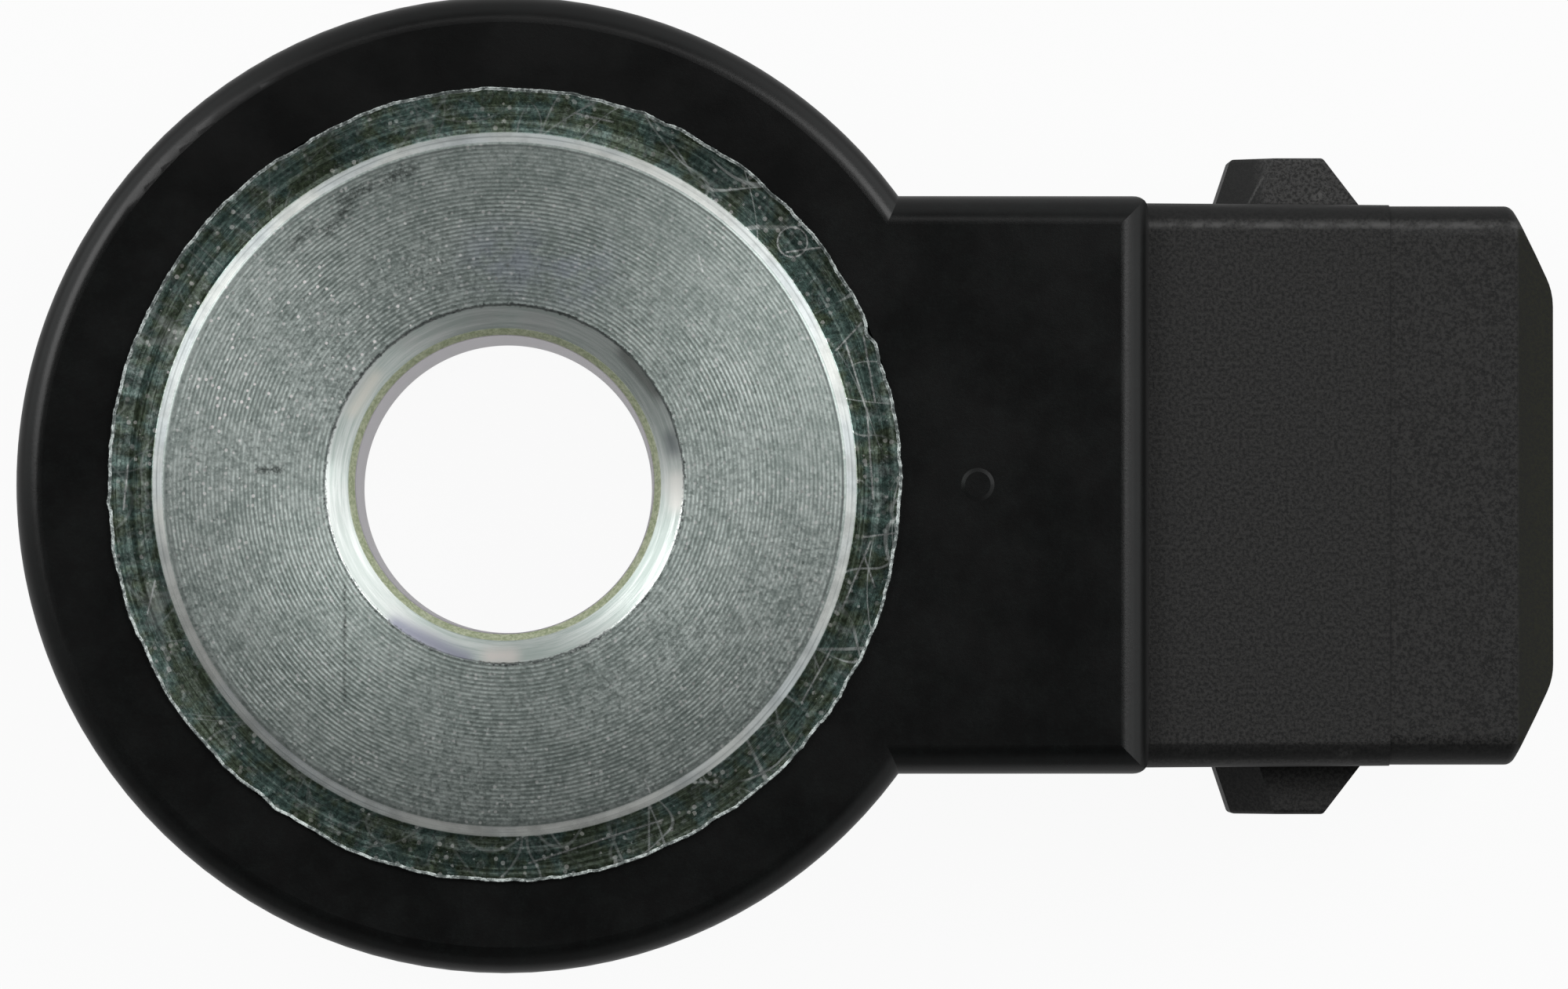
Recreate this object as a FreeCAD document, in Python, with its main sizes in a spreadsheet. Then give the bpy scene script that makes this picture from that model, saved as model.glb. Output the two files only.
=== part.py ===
"""Engine knock sensor with a two-pole connector, every inner piece of its stack in place.

The origin is on the bolt hole's axis, halfway up the pressure sleeve. +Z points towards
the engine block, out of the contact face, and +X along the connector towards its mouth.
The other end of the sleeve takes the bolt's head. All sizes are in millimetres.
"""
import FreeCAD, Part
import os
import Sketcher

doc = FreeCAD.newDocument("knock_sensor")
sheet = doc.addObject("Spreadsheet::Sheet", "Sizes")
parts = []


# Sizes that can be set, each written once

class Size:
    """A length or factor that knows its value and the sheet expression that gives it."""

    def __init__(self, value, text):
        self.value = value
        self.text = text

    def __add__(self, other):
        return Size(self.value + other.value, f"({self.text} + {other.text})")

    def __sub__(self, other):
        return Size(self.value - other.value, f"({self.text} - {other.text})")

    def __neg__(self):
        return Size(-self.value, f"(-{self.text})")

    def __mul__(self, factor):
        return Size(self.value * factor, f"({self.text} * {factor})")

    def __truediv__(self, divisor):
        return Size(self.value / divisor, f"({self.text} / {divisor})")

    def share(self, part, whole):
        """This length times part over whole, two other lengths."""
        value = self.value * part.value / whole.value
        return Size(value, f"({self.text} * {part.text} / {whole.text})")


sizes_written = 0


def size(alias, value):
    """Write one driving size into the sheet and hand it back for use in outlines."""
    global sizes_written
    sizes_written += 1
    sheet.set(f"A{sizes_written}", alias)
    sheet.set(f"B{sizes_written}", str(value))
    sheet.setAlias(f"B{sizes_written}", alias)
    return Size(value, f"Sizes.{alias}")


zero = Size(0.0, "0")

# Pressure sleeve: turned steel, flange towards the engine block
bore_radius = size("bore_radius", 4.2)
sleeve_height = size("sleeve_height", 13.0)
entry_width = size("entry_width", 0.64)
entry_depth = size("entry_depth", 0.42)
throat_width = size("throat_width", 0.21)
throat_depth = size("throat_depth", 0.32)
contact_face_radius = size("contact_face_radius", 9.6)
contact_bevel = size("contact_bevel", 0.37)
flange_radius = size("flange_radius", 11.2)
flange_thickness = size("flange_thickness", 2.6)
rim_groove_depth = size("rim_groove_depth", 0.3)
rim_groove_width = size("rim_groove_width", 0.6)
rim_land = size("rim_land", 0.8)
tube_radius = size("tube_radius", 6.5)
tube_end_length = size("tube_end_length", 1.45)
tube_end_bevel = size("tube_end_bevel", 0.3)
tube_groove_depth = size("tube_groove_depth", 0.25)
tube_groove_width = size("tube_groove_width", 0.4)
tube_land = size("tube_land", 0.35)

# Stack of rings on the flange, clamped by the spring and the nut
liner_thickness = size("liner_thickness", 0.3)
ring_clearance = size("ring_clearance", 0.1)
mass_clearance = size("mass_clearance", 0.15)
insulator_thickness = size("insulator_thickness", 0.25)
insulator_overhang = size("insulator_overhang", 0.2)
contact_thickness = size("contact_thickness", 0.3)
contact_inset = size("contact_inset", 0.1)
piezo_thickness = size("piezo_thickness", 2.2)
piezo_width = size("piezo_width", 3.1)
mass_inset = size("mass_inset", 0.05)
mass_bevel = size("mass_bevel", 0.2)
spring_thickness = size("spring_thickness", 0.7)
spring_cone = size("spring_cone", 0.35)
spring_inset = size("spring_inset", 0.3)
nut_thickness = size("nut_thickness", 1.8)
nut_wall = size("nut_wall", 2.4)
nut_slot_width = size("nut_slot_width", 2.4)
nut_slot_depth = size("nut_slot_depth", 0.9)

# Contact tabs and the stamped terminals welded to them
blade_pitch = size("blade_pitch", 5.0)
blade_thickness = size("blade_thickness", 0.8)
blade_height = size("blade_height", 2.8)
blade_tip_inset = size("blade_tip_inset", 2.2)
blade_tip_bevel = size("blade_tip_bevel", 0.25)
tab_reach = size("tab_reach", 3.0)
tab_width = size("tab_width", 2.4)
foot_length = size("foot_length", 2.0)
foot_clearance = size("foot_clearance", 0.2)
riser_length = size("riser_length", 2.0)
riser_slope = size("riser_slope", 0.8)
anchor_hole_radius = size("anchor_hole_radius", 0.5)
anchor_hole_setback = size("anchor_hole_setback", 1.6)

# Moulded housing: round body and neck
plastic_drop = size("plastic_drop", 0.5)
seat_proud = size("seat_proud", 0.4)
body_radius = size("body_radius", 13.81)
body_edge_round = size("body_edge_round", 0.75)
neck_width = size("neck_width", 16.35)
neck_end = size("neck_end", 18.22)
neck_edge_round = size("neck_edge_round", 0.82)
neck_corner_round = size("neck_corner_round", 0.45)
gate_mark_place = size("gate_mark_place", 13.36)
gate_mark_root_radius = size("gate_mark_root_radius", 0.58)
gate_mark_top_radius = size("gate_mark_top_radius", 0.36)
gate_mark_height = size("gate_mark_height", 0.1)

# Connector shroud
shroud_drop = size("shroud_drop", 1.2)
shroud_height = size("shroud_height", 9.4)
shroud_root = size("shroud_root", 1.0)
shroud_root_width = size("shroud_root_width", 16.04)
shroud_seam_width = size("shroud_seam_width", 15.93)
shroud_root_round = size("shroud_root_round", 0.7)
seam_place = size("seam_place", 25.1)
seam_step = size("seam_step", 0.03)
shroud_nose_round = size("shroud_nose_round", 0.85)
mouth_end = size("mouth_end", 29.77)
mouth_bevel_length = size("mouth_bevel_length", 1.04)
mouth_bevel_drop = size("mouth_bevel_drop", 0.6)
corner_cut_length = size("corner_cut_length", 1.2)
corner_cut_width = size("corner_cut_width", 2.44)
corner_cut_round = size("corner_cut_round", 1.8)
mouth_side_round = size("mouth_side_round", 0.3)
socket_width = size("socket_width", 13.4)
socket_height = size("socket_height", 6.9)
socket_corner_round = size("socket_corner_round", 1.2)
socket_floor_place = size("socket_floor_place", 18.6)
key_rib_width = size("key_rib_width", 1.2)
key_rib_height = size("key_rib_height", 0.8)
key_rib_spacing = size("key_rib_spacing", 10.6)
key_rib_start = size("key_rib_start", 19.6)
key_rib_length = size("key_rib_length", 8.2)
key_rib_round = size("key_rib_round", 0.25)

# Locking ramps on the two narrow sides of the shroud
ramp_start = size("ramp_start", 20.28)
ramp_length = size("ramp_length", 4.12)
ramp_height = size("ramp_height", 1.4)
ramp_width = size("ramp_width", 4.6)
ramp_lean = size("ramp_lean", 0.47)
ramp_lead_in = size("ramp_lead_in", 1.08)
ramp_rear_bevel = size("ramp_rear_bevel", 1.15)
ramp_root = size("ramp_root", 0.6)
ramp_edge_round = size("ramp_edge_round", 0.14)


# Levels and places worked out from the sizes

contact_level = sleeve_height / 2
seat_level = -(sleeve_height / 2)
shelf_level = contact_level - contact_bevel
flange_back = contact_level - flange_thickness
near_insulator_back = flange_back - insulator_thickness
near_contact_back = near_insulator_back - contact_thickness
piezo_back = near_contact_back - piezo_thickness
far_contact_back = piezo_back - contact_thickness
mass_front = far_contact_back - insulator_thickness
nut_back = seat_level + tube_end_length
nut_front = nut_back + nut_thickness
mass_back = nut_front + spring_thickness + spring_cone
mass_thickness = mass_front - mass_back
nut_radius = tube_radius + nut_wall
ring_bore = tube_radius + liner_thickness + ring_clearance
piezo_radius = ring_bore + piezo_width
insulator_radius = piezo_radius + insulator_overhang
contact_radius = piezo_radius - contact_inset
mass_radius = piezo_radius - mass_inset
spring_radius = piezo_radius - spring_inset
mass_bore = tube_radius + mass_clearance
tab_end = contact_radius + tab_reach
plastic_face = contact_level - plastic_drop
body_height = sleeve_height - plastic_drop - seat_proud
shroud_face = plastic_face - shroud_drop
shroud_centre = shroud_face - shroud_height / 2


# Small tools for sketches and features

def bind(target, name, length):
    """Tie one property or constraint of an object to the sheet."""
    target.setExpression(name, length.text)


def new_body(label):
    """An empty body with its own label."""
    body = doc.addObject("PartDesign::Body", label)
    body.Label = label
    return body


def plane_sketch(body, role, label, offset=zero):
    """A sketch on one of the body's own planes, moved along that plane's normal."""
    plane = next(item for item in body.Origin.OriginFeatures if item.Role == role)
    sketch = body.newObject("Sketcher::SketchObject", label)
    sketch.AttachmentSupport = [(plane, "")]
    sketch.MapMode = "FlatFace"
    bind(sketch, "AttachmentOffset.Base.z", offset)
    return sketch


def place_point(sketch, item, end, across, up):
    """Fix a point of the sketch at two lengths from the origin."""
    for kind, axis, length in (("DistanceX", -2, across), ("DistanceY", -1, up)):
        if length is zero:
            sketch.addConstraint(Sketcher.Constraint("PointOnObject", item, end, axis))
        else:
            rule = Sketcher.Constraint(kind, -1, 1, item, end, length.value)
            number = sketch.addConstraint(rule)
            bind(sketch, f"Constraints[{number}]", length)


def polygon(sketch, points):
    """A closed chain of straight lines through points given as pairs of lengths."""
    first = sketch.GeometryCount
    count = len(points)
    corners = [FreeCAD.Vector(across.value, up.value, 0) for across, up in points]
    for index in range(count):
        sketch.addGeometry(Part.LineSegment(corners[index], corners[(index + 1) % count]), False)
    for index in range(count):
        follower = first + (index + 1) % count
        sketch.addConstraint(Sketcher.Constraint("Coincident", first + index, 2, follower, 1))
    for index, (across, up) in enumerate(points):
        place_point(sketch, first + index, 1, across, up)


def circle(sketch, radius, across=zero, up=zero):
    """A circle of the given radius."""
    centre = FreeCAD.Vector(across.value, up.value, 0)
    item = sketch.addGeometry(Part.Circle(centre, FreeCAD.Vector(0, 0, 1), radius.value), False)
    place_point(sketch, item, 3, across, up)
    number = sketch.addConstraint(Sketcher.Constraint("Radius", item, radius.value))
    bind(sketch, f"Constraints[{number}]", radius)


def rounded_rectangle(sketch, width, height, corner, middle):
    """A rectangle with rounded corners, centred across, its middle at the given height."""
    quarter = 1.5707963267948966
    side = width / 2
    flat = side - corner
    top = middle + height / 2
    bottom = middle - height / 2
    upper = top - corner
    lower = bottom + corner
    starts = [(-flat, bottom), (side, lower), (flat, top), (-side, upper)]
    ends = [(flat, bottom), (side, upper), (-flat, top), (-side, lower)]
    centres = [(flat, lower), (flat, upper), (-flat, upper), (-flat, lower)]
    for start, end in zip(starts, ends):
        near = FreeCAD.Vector(start[0].value, start[1].value, 0)
        far = FreeCAD.Vector(end[0].value, end[1].value, 0)
        item = sketch.addGeometry(Part.LineSegment(near, far), False)
        place_point(sketch, item, 1, *start)
        place_point(sketch, item, 2, *end)
    for index, (across, up) in enumerate(centres):
        centre = FreeCAD.Vector(across.value, up.value, 0)
        round_edge = Part.Circle(centre, FreeCAD.Vector(0, 0, 1), corner.value)
        turn = (index - 1) * quarter
        item = sketch.addGeometry(Part.ArcOfCircle(round_edge, turn, turn + quarter), False)
        sketch.addConstraint(Sketcher.Constraint("Coincident", item, 1, index, 2))
        sketch.addConstraint(Sketcher.Constraint("Coincident", item, 2, (index + 1) % 4, 1))
        number = sketch.addConstraint(Sketcher.Constraint("Radius", item, corner.value))
        bind(sketch, f"Constraints[{number}]", corner)


def pad(body, sketch, length, label, towards_normal=True):
    """Extrude a sketch by a bound length."""
    feature = body.newObject("PartDesign::Pad", label)
    feature.Profile = sketch
    feature.Reversed = not towards_normal
    bind(feature, "Length", length)
    return feature


def pocket(body, sketch, length, label):
    """Cut a sketch into the body, against the sketch plane's normal, and prove that it cut."""
    doc.recompute()
    before = body.Shape.Volume
    feature = body.newObject("PartDesign::Pocket", label)
    feature.Profile = sketch
    bind(feature, "Length", length)
    doc.recompute()
    if body.Shape.Volume >= before - 1e-6:
        raise RuntimeError(f"{label} cuts nothing")
    return feature


def revolve(body, sketch, label):
    """Turn a sketch of the XZ plane once round the Z axis."""
    feature = body.newObject("PartDesign::Revolution", label)
    feature.Profile = sketch
    feature.ReferenceAxis = (sketch, ["V_Axis"])
    feature.Angle = 360.0
    return feature


def dress_edges(body, kind, prop, length, label, wanted):
    """Round or bevel the edges of the body's last feature that the test picks."""
    doc.recompute()
    base = body.Tip
    names = []
    for number, edge in enumerate(base.Shape.Edges, start=1):
        if wanted(edge):
            names.append(f"Edge{number}")
    feature = body.newObject(kind, label)
    feature.Base = (base, names)
    bind(feature, prop, length)
    doc.recompute()
    print(label, len(names), "edges")
    return feature


def round_edges(body, radius, label, wanted):
    """Round the picked edges."""
    return dress_edges(body, "PartDesign::Fillet", "Radius", radius, label, wanted)


def bevel_edges(body, width, label, wanted):
    """Bevel the picked edges."""
    return dress_edges(body, "PartDesign::Chamfer", "Size", width, label, wanted)


def runs_along(edge, axis):
    """True for a straight edge parallel to the X, Y or Z axis, axis being 0, 1 or 2."""
    if not isinstance(edge.Curve, Part.Line):
        return False
    return abs(abs(edge.Curve.Direction[axis]) - 1) < 1e-6


def near(number, length):
    """True where a coordinate lies at a length, to a thousandth of a millimetre."""
    return abs(number - length.value) < 1e-3


def ring(label, inner, outer, thickness, front):
    """A flat ring, its front face at the given level."""
    body = new_body(label)
    sketch = plane_sketch(body, "XY_Plane", f"{label}_outline")
    circle(sketch, outer)
    circle(sketch, inner)
    pad(body, sketch, thickness, f"{label}_disc", towards_normal=False)
    bind(body, "Placement.Base.z", front)
    return body


# Pressure sleeve: one turned piece, grooved where the plastic grips it

def flange_outside():
    """Outline from the contact face's outer edge, over the shelf and rim, to the back."""
    groove_floor = flange_radius - rim_groove_depth
    groove_front = shelf_level - rim_land
    groove_back = groove_front - rim_groove_width
    return [
        (contact_face_radius, contact_level),
        (contact_face_radius + contact_bevel, shelf_level),
        (flange_radius, shelf_level),
        (flange_radius, groove_front),
        (groove_floor, groove_front),
        (groove_floor, groove_back),
        (flange_radius, groove_back),
        (flange_radius, flange_back),
    ]


def tube_end_outside():
    """Outline of the tube behind the nut: a sealing groove and the bevelled end."""
    groove_floor = tube_radius - tube_groove_depth
    groove_front = nut_back - tube_land
    groove_back = groove_front - tube_groove_width
    return [
        (tube_radius, groove_front),
        (groove_floor, groove_front),
        (groove_floor, groove_back),
        (tube_radius, groove_back),
        (tube_radius, seat_level + tube_end_bevel),
        (tube_radius - tube_end_bevel, seat_level),
    ]


pressure_sleeve = new_body("pressure_sleeve")
sleeve_section = plane_sketch(pressure_sleeve, "XZ_Plane", "sleeve_section")
bore_side = [
    (bore_radius + tube_end_bevel, seat_level),
    (bore_radius, seat_level + tube_end_bevel),
    (bore_radius, contact_level - entry_depth - throat_depth),
    (bore_radius + throat_width, contact_level - entry_depth),
    (bore_radius + throat_width + entry_width, contact_level),
]
tube_root = [(tube_radius, flange_back)]
polygon(sleeve_section, flange_outside() + tube_root + tube_end_outside() + bore_side)
revolve(pressure_sleeve, sleeve_section, "sleeve_turning")
parts.append(pressure_sleeve)


# Insulating liner round the tube, and the two insulating washers

liner_length = flange_back - mass_front
insulating_liner = ring(
    "insulating_liner", tube_radius, tube_radius + liner_thickness, liner_length, flange_back)
near_insulator = ring(
    "near_insulating_washer", ring_bore, insulator_radius, insulator_thickness, flange_back)
far_insulator = ring(
    "far_insulating_washer", ring_bore, insulator_radius, insulator_thickness,
    far_contact_back)
parts.extend([insulating_liner, near_insulator, far_insulator])


# Piezo ceramic ring

piezo_ring = ring("piezo_ring", ring_bore, piezo_radius, piezo_thickness, near_contact_back)
parts.append(piezo_ring)


# Contact rings: stamped sheet with one welding tab each, on opposite sides of the middle

def contact_ring(label, front, side):
    """A flat contact ring whose tab reaches under its terminal's foot."""
    body = ring(label, ring_bore, contact_radius, contact_thickness, front)
    inner_edge = (blade_pitch - blade_thickness) / 2
    outer_edge = inner_edge + tab_width
    tab_start = (ring_bore + contact_radius) / 2
    low, high = (inner_edge, outer_edge) if side > 0 else (-outer_edge, -inner_edge)
    sketch = plane_sketch(body, "XY_Plane", f"{label}_tab_outline")
    polygon(sketch, [(tab_start, low), (tab_end, low), (tab_end, high), (tab_start, high)])
    pad(body, sketch, contact_thickness, f"{label}_tab", towards_normal=False)
    return body


return_contact = contact_ring("return_contact_ring", near_insulator_back, 1)
signal_contact = contact_ring("signal_contact_ring", piezo_back, -1)
parts.extend([return_contact, signal_contact])


# Seismic mass

seismic_mass = ring("seismic_mass", mass_bore, mass_radius, mass_thickness, mass_front)
bevel_edges(seismic_mass, mass_bevel, "mass_edge_bevel",
            lambda edge: isinstance(edge.Curve, Part.Circle) and near(edge.Curve.Radius, mass_radius))
parts.append(seismic_mass)


# Disc spring: a shallow cone, its rim on the mass and its bore edge under the nut

disc_spring = new_body("disc_spring")
spring_section = plane_sketch(disc_spring, "XZ_Plane", "spring_section")
polygon(spring_section, [
    (spring_radius, mass_back),
    (spring_radius, mass_back - spring_thickness),
    (mass_bore, nut_front),
    (mass_bore, mass_back - spring_cone),
])
revolve(disc_spring, spring_section, "spring_turning")
parts.append(disc_spring)


# Ring nut: round, with four slots for its spanner

ring_nut = ring("ring_nut", tube_radius, nut_radius, nut_thickness, nut_front)
slot_sketch = plane_sketch(ring_nut, "XY_Plane", "nut_slot_outline")
slot_floor = nut_radius - nut_slot_depth
slot_side = nut_slot_width / 2
slot_mouth = nut_radius + nut_slot_depth
polygon(slot_sketch, [
    (slot_floor, -slot_side), (slot_mouth, -slot_side),
    (slot_mouth, slot_side), (slot_floor, slot_side),
])
nut_slot = pocket(ring_nut, slot_sketch, nut_thickness, "nut_slot")
slots = ring_nut.newObject("PartDesign::PolarPattern", "nut_slots")
slots.Originals = [nut_slot]
slots.Axis = (slot_sketch, ["N_Axis"])
slots.Angle = 360.0
slots.Occurrences = 4
ring_nut.Tip = slots
parts.append(ring_nut)


# Terminals: stamped strip on edge, its foot folded flat under the contact ring's tab

def terminal(label, foot_level, side):
    """A blade with its riser, anchor hole and folded foot."""
    body = new_body(label)
    half_sheet = blade_thickness / 2
    plate_start = tab_end + foot_clearance
    riser_end = plate_start + riser_length
    slope_end = riser_end + riser_slope
    blade_top = shroud_centre + blade_height / 2
    blade_bottom = shroud_centre - blade_height / 2
    tip = mouth_end - blade_tip_inset
    plate_sketch = plane_sketch(body, "XZ_Plane", f"{label}_outline", -half_sheet)
    polygon(plate_sketch, [
        (plate_start, foot_level), (riser_end, foot_level),
        (slope_end, blade_top), (tip, blade_top),
        (tip, blade_bottom), (plate_start, blade_bottom),
    ])
    circle(plate_sketch, anchor_hole_radius, neck_end - anchor_hole_setback, shroud_centre)
    pad(body, plate_sketch, blade_thickness, f"{label}_plate")
    foot_sketch = plane_sketch(body, "XY_Plane", f"{label}_foot_outline", foot_level)
    inner, outer = -half_sheet, tab_width - half_sheet
    low, high = (inner, outer) if side > 0 else (-outer, -inner)
    foot_start = tab_end - foot_length
    polygon(foot_sketch, [
        (foot_start, low), (riser_end, low), (riser_end, high), (foot_start, high)])
    pad(body, foot_sketch, blade_thickness, f"{label}_foot", towards_normal=False)
    bevel_edges(body, blade_tip_bevel, f"{label}_tip_bevel",
                lambda edge: near(edge.BoundBox.XMin, tip) and near(edge.BoundBox.XMax, tip))
    bind(body, "Placement.Base.y", blade_pitch / 2 if side > 0 else -(blade_pitch / 2))
    return body


return_terminal = terminal("return_terminal", near_contact_back, 1)
signal_terminal = terminal("signal_terminal", far_contact_back, -1)
parts.extend([return_terminal, signal_terminal])


# Housing blank: round body

round_body = new_body("round_body")
round_sketch = plane_sketch(round_body, "XY_Plane", "round_outline", plastic_face)
circle(round_sketch, body_radius)
pad(round_body, round_sketch, body_height, "round_disc", towards_normal=False)
round_edges(round_body, body_edge_round, "round_edge",
            lambda edge: isinstance(edge.Curve, Part.Circle))


# Housing blank: neck between the round body and the connector

neck = new_body("neck")
neck_sketch = plane_sketch(neck, "XY_Plane", "neck_outline", plastic_face)
neck_side = neck_width / 2
polygon(neck_sketch, [
    (zero, -neck_side), (neck_end, -neck_side), (neck_end, neck_side), (zero, neck_side)])
pad(neck, neck_sketch, body_height, "neck_block", towards_normal=False)


def neck_outer_edge(edge):
    """Long edges of the neck and the two level edges of its end."""
    at_end = near(edge.BoundBox.XMin, neck_end) and runs_along(edge, 1)
    return at_end or runs_along(edge, 0)


round_edges(neck, neck_edge_round, "neck_edge", neck_outer_edge)

neck_plan = new_body("neck_plan")
plan_sketch = plane_sketch(neck_plan, "XY_Plane", "neck_plan_outline", plastic_face)
rounded_rectangle(plan_sketch, neck_end * 2, neck_width, neck_corner_round, zero)
pad(neck_plan, plan_sketch, body_height, "neck_plan_block", towards_normal=False)

rounded_neck = doc.addObject("Part::MultiCommon", "rounded_neck")
rounded_neck.Shapes = [neck, neck_plan]


# Housing blank: low stub left on the neck where the gate of the mould was cut off

gate_mark = doc.addObject("Part::Cone", "gate_mark")
bind(gate_mark, "Radius1", gate_mark_root_radius)
bind(gate_mark, "Radius2", gate_mark_top_radius)
bind(gate_mark, "Height", gate_mark_height * 2)
bind(gate_mark, "Placement.Base.x", gate_mark_place)
bind(gate_mark, "Placement.Base.z", plastic_face - gate_mark_height)


# Housing blank: connector shroud, drafted up to the mould's parting line, then the nose

shroud = new_body("shroud")
root_sketch = plane_sketch(shroud, "YZ_Plane", "shroud_root_section", neck_end - shroud_root)
rounded_rectangle(root_sketch, shroud_root_width, shroud_height, shroud_root_round, shroud_centre)
seam_sketch = plane_sketch(shroud, "YZ_Plane", "shroud_seam_section", seam_place)
rounded_rectangle(seam_sketch, shroud_seam_width, shroud_height, shroud_root_round, shroud_centre)
shroud_loft = shroud.newObject("PartDesign::AdditiveLoft", "shroud_draft")
shroud_loft.Profile = root_sketch
shroud_loft.Sections = [seam_sketch]
shroud_loft.Ruled = True
nose_width = shroud_seam_width - seam_step * 2
nose_height = shroud_height - seam_step * 2
nose_sketch = plane_sketch(shroud, "YZ_Plane", "shroud_nose_section", seam_place)
rounded_rectangle(nose_sketch, nose_width, nose_height, shroud_nose_round, shroud_centre)
pad(shroud, nose_sketch, mouth_end - seam_place, "shroud_nose")

corner_sketch = plane_sketch(shroud, "XY_Plane", "mouth_corner_outline", shroud_face)
nose_side = nose_width / 2
for turn in (1, -1):
    polygon(corner_sketch, [
        (mouth_end - corner_cut_length, nose_side * turn),
        (mouth_end, nose_side * turn),
        (mouth_end, (nose_side - corner_cut_width) * turn),
    ])
pocket(shroud, corner_sketch, shroud_height, "mouth_corner_cut")
round_edges(shroud, corner_cut_round, "mouth_corner_round",
            lambda edge: runs_along(edge, 2) and near(edge.BoundBox.XMin, mouth_end))
round_edges(shroud, mouth_side_round, "mouth_side_round",
            lambda edge: runs_along(edge, 2)
            and near(edge.BoundBox.XMin, mouth_end - corner_cut_length))

bevel_sketch = plane_sketch(shroud, "XZ_Plane", "mouth_bevel_outline", shroud_root_width / 2)
nose_top = shroud_centre + nose_height / 2
nose_bottom = shroud_centre - nose_height / 2
bevel_start = mouth_end - mouth_bevel_length
polygon(bevel_sketch, [
    (bevel_start, nose_top), (mouth_end, nose_top), (mouth_end, nose_top - mouth_bevel_drop)])
polygon(bevel_sketch, [
    (bevel_start, nose_bottom), (mouth_end, nose_bottom),
    (mouth_end, nose_bottom + mouth_bevel_drop)])
pocket(shroud, bevel_sketch, shroud_root_width, "mouth_bevel")


# Housing blank: two keying ribs on the wide side away from the engine block

key_ribs = new_body("key_ribs")
shroud_back = shroud_face - shroud_height
rib_sketch = plane_sketch(key_ribs, "XY_Plane", "key_rib_outline", shroud_back - key_rib_height)
for turn in (1, -1):
    rib_inside = (key_rib_spacing - key_rib_width) / 2 * turn
    rib_outside = (key_rib_spacing + key_rib_width) / 2 * turn
    polygon(rib_sketch, [
        (key_rib_start, rib_inside), (key_rib_start + key_rib_length, rib_inside),
        (key_rib_start + key_rib_length, rib_outside), (key_rib_start, rib_outside)])
pad(key_ribs, rib_sketch, key_rib_height * 1.5, "key_rib_pair")
round_edges(key_ribs, key_rib_round, "key_rib_edge",
            lambda edge: near(edge.BoundBox.ZMax, shroud_back - key_rib_height)
            and runs_along(edge, 0))


# Housing blank: locking ramps, one block and its mirror image

ramp = new_body("ramp")
ramp_base = shroud_seam_width / 2 - ramp_root
ramp_top = shroud_seam_width / 2 + ramp_height
ramp_end = ramp_start + ramp_length
rear_top = ramp_start + ramp_lean
sunk_lean = ramp_lean.share(ramp_root, ramp_height)
sunk_lead_in = ramp_lead_in.share(ramp_root, ramp_height)
ramp_sketch = plane_sketch(ramp, "XY_Plane", "ramp_outline", shroud_centre + ramp_width / 2)
polygon(ramp_sketch, [
    (ramp_start - sunk_lean, ramp_base),
    (ramp_end + sunk_lead_in, ramp_base),
    (ramp_end - ramp_lead_in, ramp_top),
    (rear_top, ramp_top),
])
pad(ramp, ramp_sketch, ramp_width, "ramp_block", towards_normal=False)


def ramp_rear_side(edge):
    """The two leaning edges at the sides of the ramp's catching face."""
    box = edge.BoundBox
    return near(box.XMax, rear_top) and near(box.XMin, ramp_start - sunk_lean)


def ramp_crest(edge):
    """Every edge round the ramp's top."""
    return near(edge.BoundBox.YMin, ramp_top) and near(edge.BoundBox.YMax, ramp_top)


bevel_edges(ramp, ramp_rear_bevel, "ramp_rear_bevel", ramp_rear_side)
round_edges(ramp, ramp_edge_round, "ramp_edge", ramp_crest)

mirrored_ramp = doc.addObject("Part::Mirroring", "mirrored_ramp")
mirrored_ramp.Source = ramp
mirrored_ramp.Base = FreeCAD.Vector(0, 0, 0)
mirrored_ramp.Normal = FreeCAD.Vector(0, 1, 0)


# Spaces in the housing: the connector's socket, and the room that sleeve and stack take

socket = new_body("socket")
socket_sketch = plane_sketch(socket, "YZ_Plane", "socket_section", socket_floor_place)
rounded_rectangle(socket_sketch, socket_width, socket_height, socket_corner_round, shroud_centre)
pad(socket, socket_sketch, mouth_end - socket_floor_place, "socket_space")

stack_space = new_body("stack_space")
space_section = plane_sketch(stack_space, "XZ_Plane", "space_section")
spring_at_nut = spring_cone.share(spring_radius - nut_radius, spring_radius - mass_bore)
spring_slope_at_nut = mass_back - spring_thickness - spring_at_nut
stack_outside = [
    (insulator_radius, flange_back),
    (insulator_radius, near_insulator_back),
    (contact_radius, near_insulator_back),
    (contact_radius, near_contact_back),
    (piezo_radius, near_contact_back),
    (piezo_radius, piezo_back),
    (contact_radius, piezo_back),
    (contact_radius, far_contact_back),
    (insulator_radius, far_contact_back),
    (insulator_radius, mass_front),
    (mass_radius - mass_bevel, mass_front),
    (mass_radius, mass_front - mass_bevel),
    (mass_radius, mass_back + mass_bevel),
    (mass_radius - mass_bevel, mass_back),
    (spring_radius, mass_back),
    (spring_radius, mass_back - spring_thickness),
    (nut_radius, spring_slope_at_nut),
    (nut_radius, nut_front),
    (tube_radius, nut_front),
]
axis_ends = [(zero, seat_level), (zero, contact_level)]
polygon(space_section, flange_outside() + stack_outside + tube_end_outside() + axis_ends)
revolve(stack_space, space_section, "space_turning")


# Housing: the blanks joined, then emptied where the socket and the inner pieces are

blank = doc.addObject("Part::MultiFuse", "housing_blank")
blank.Shapes = [round_body, rounded_neck, gate_mark, shroud, key_ribs, ramp, mirrored_ramp]
blank.Refine = True

spaces = doc.addObject("Part::MultiFuse", "housing_spaces")
spaces.Shapes = [socket, stack_space]

socketed = doc.addObject("Part::Cut", "socketed_housing")
socketed.Base = blank
socketed.Tool = spaces

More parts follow.
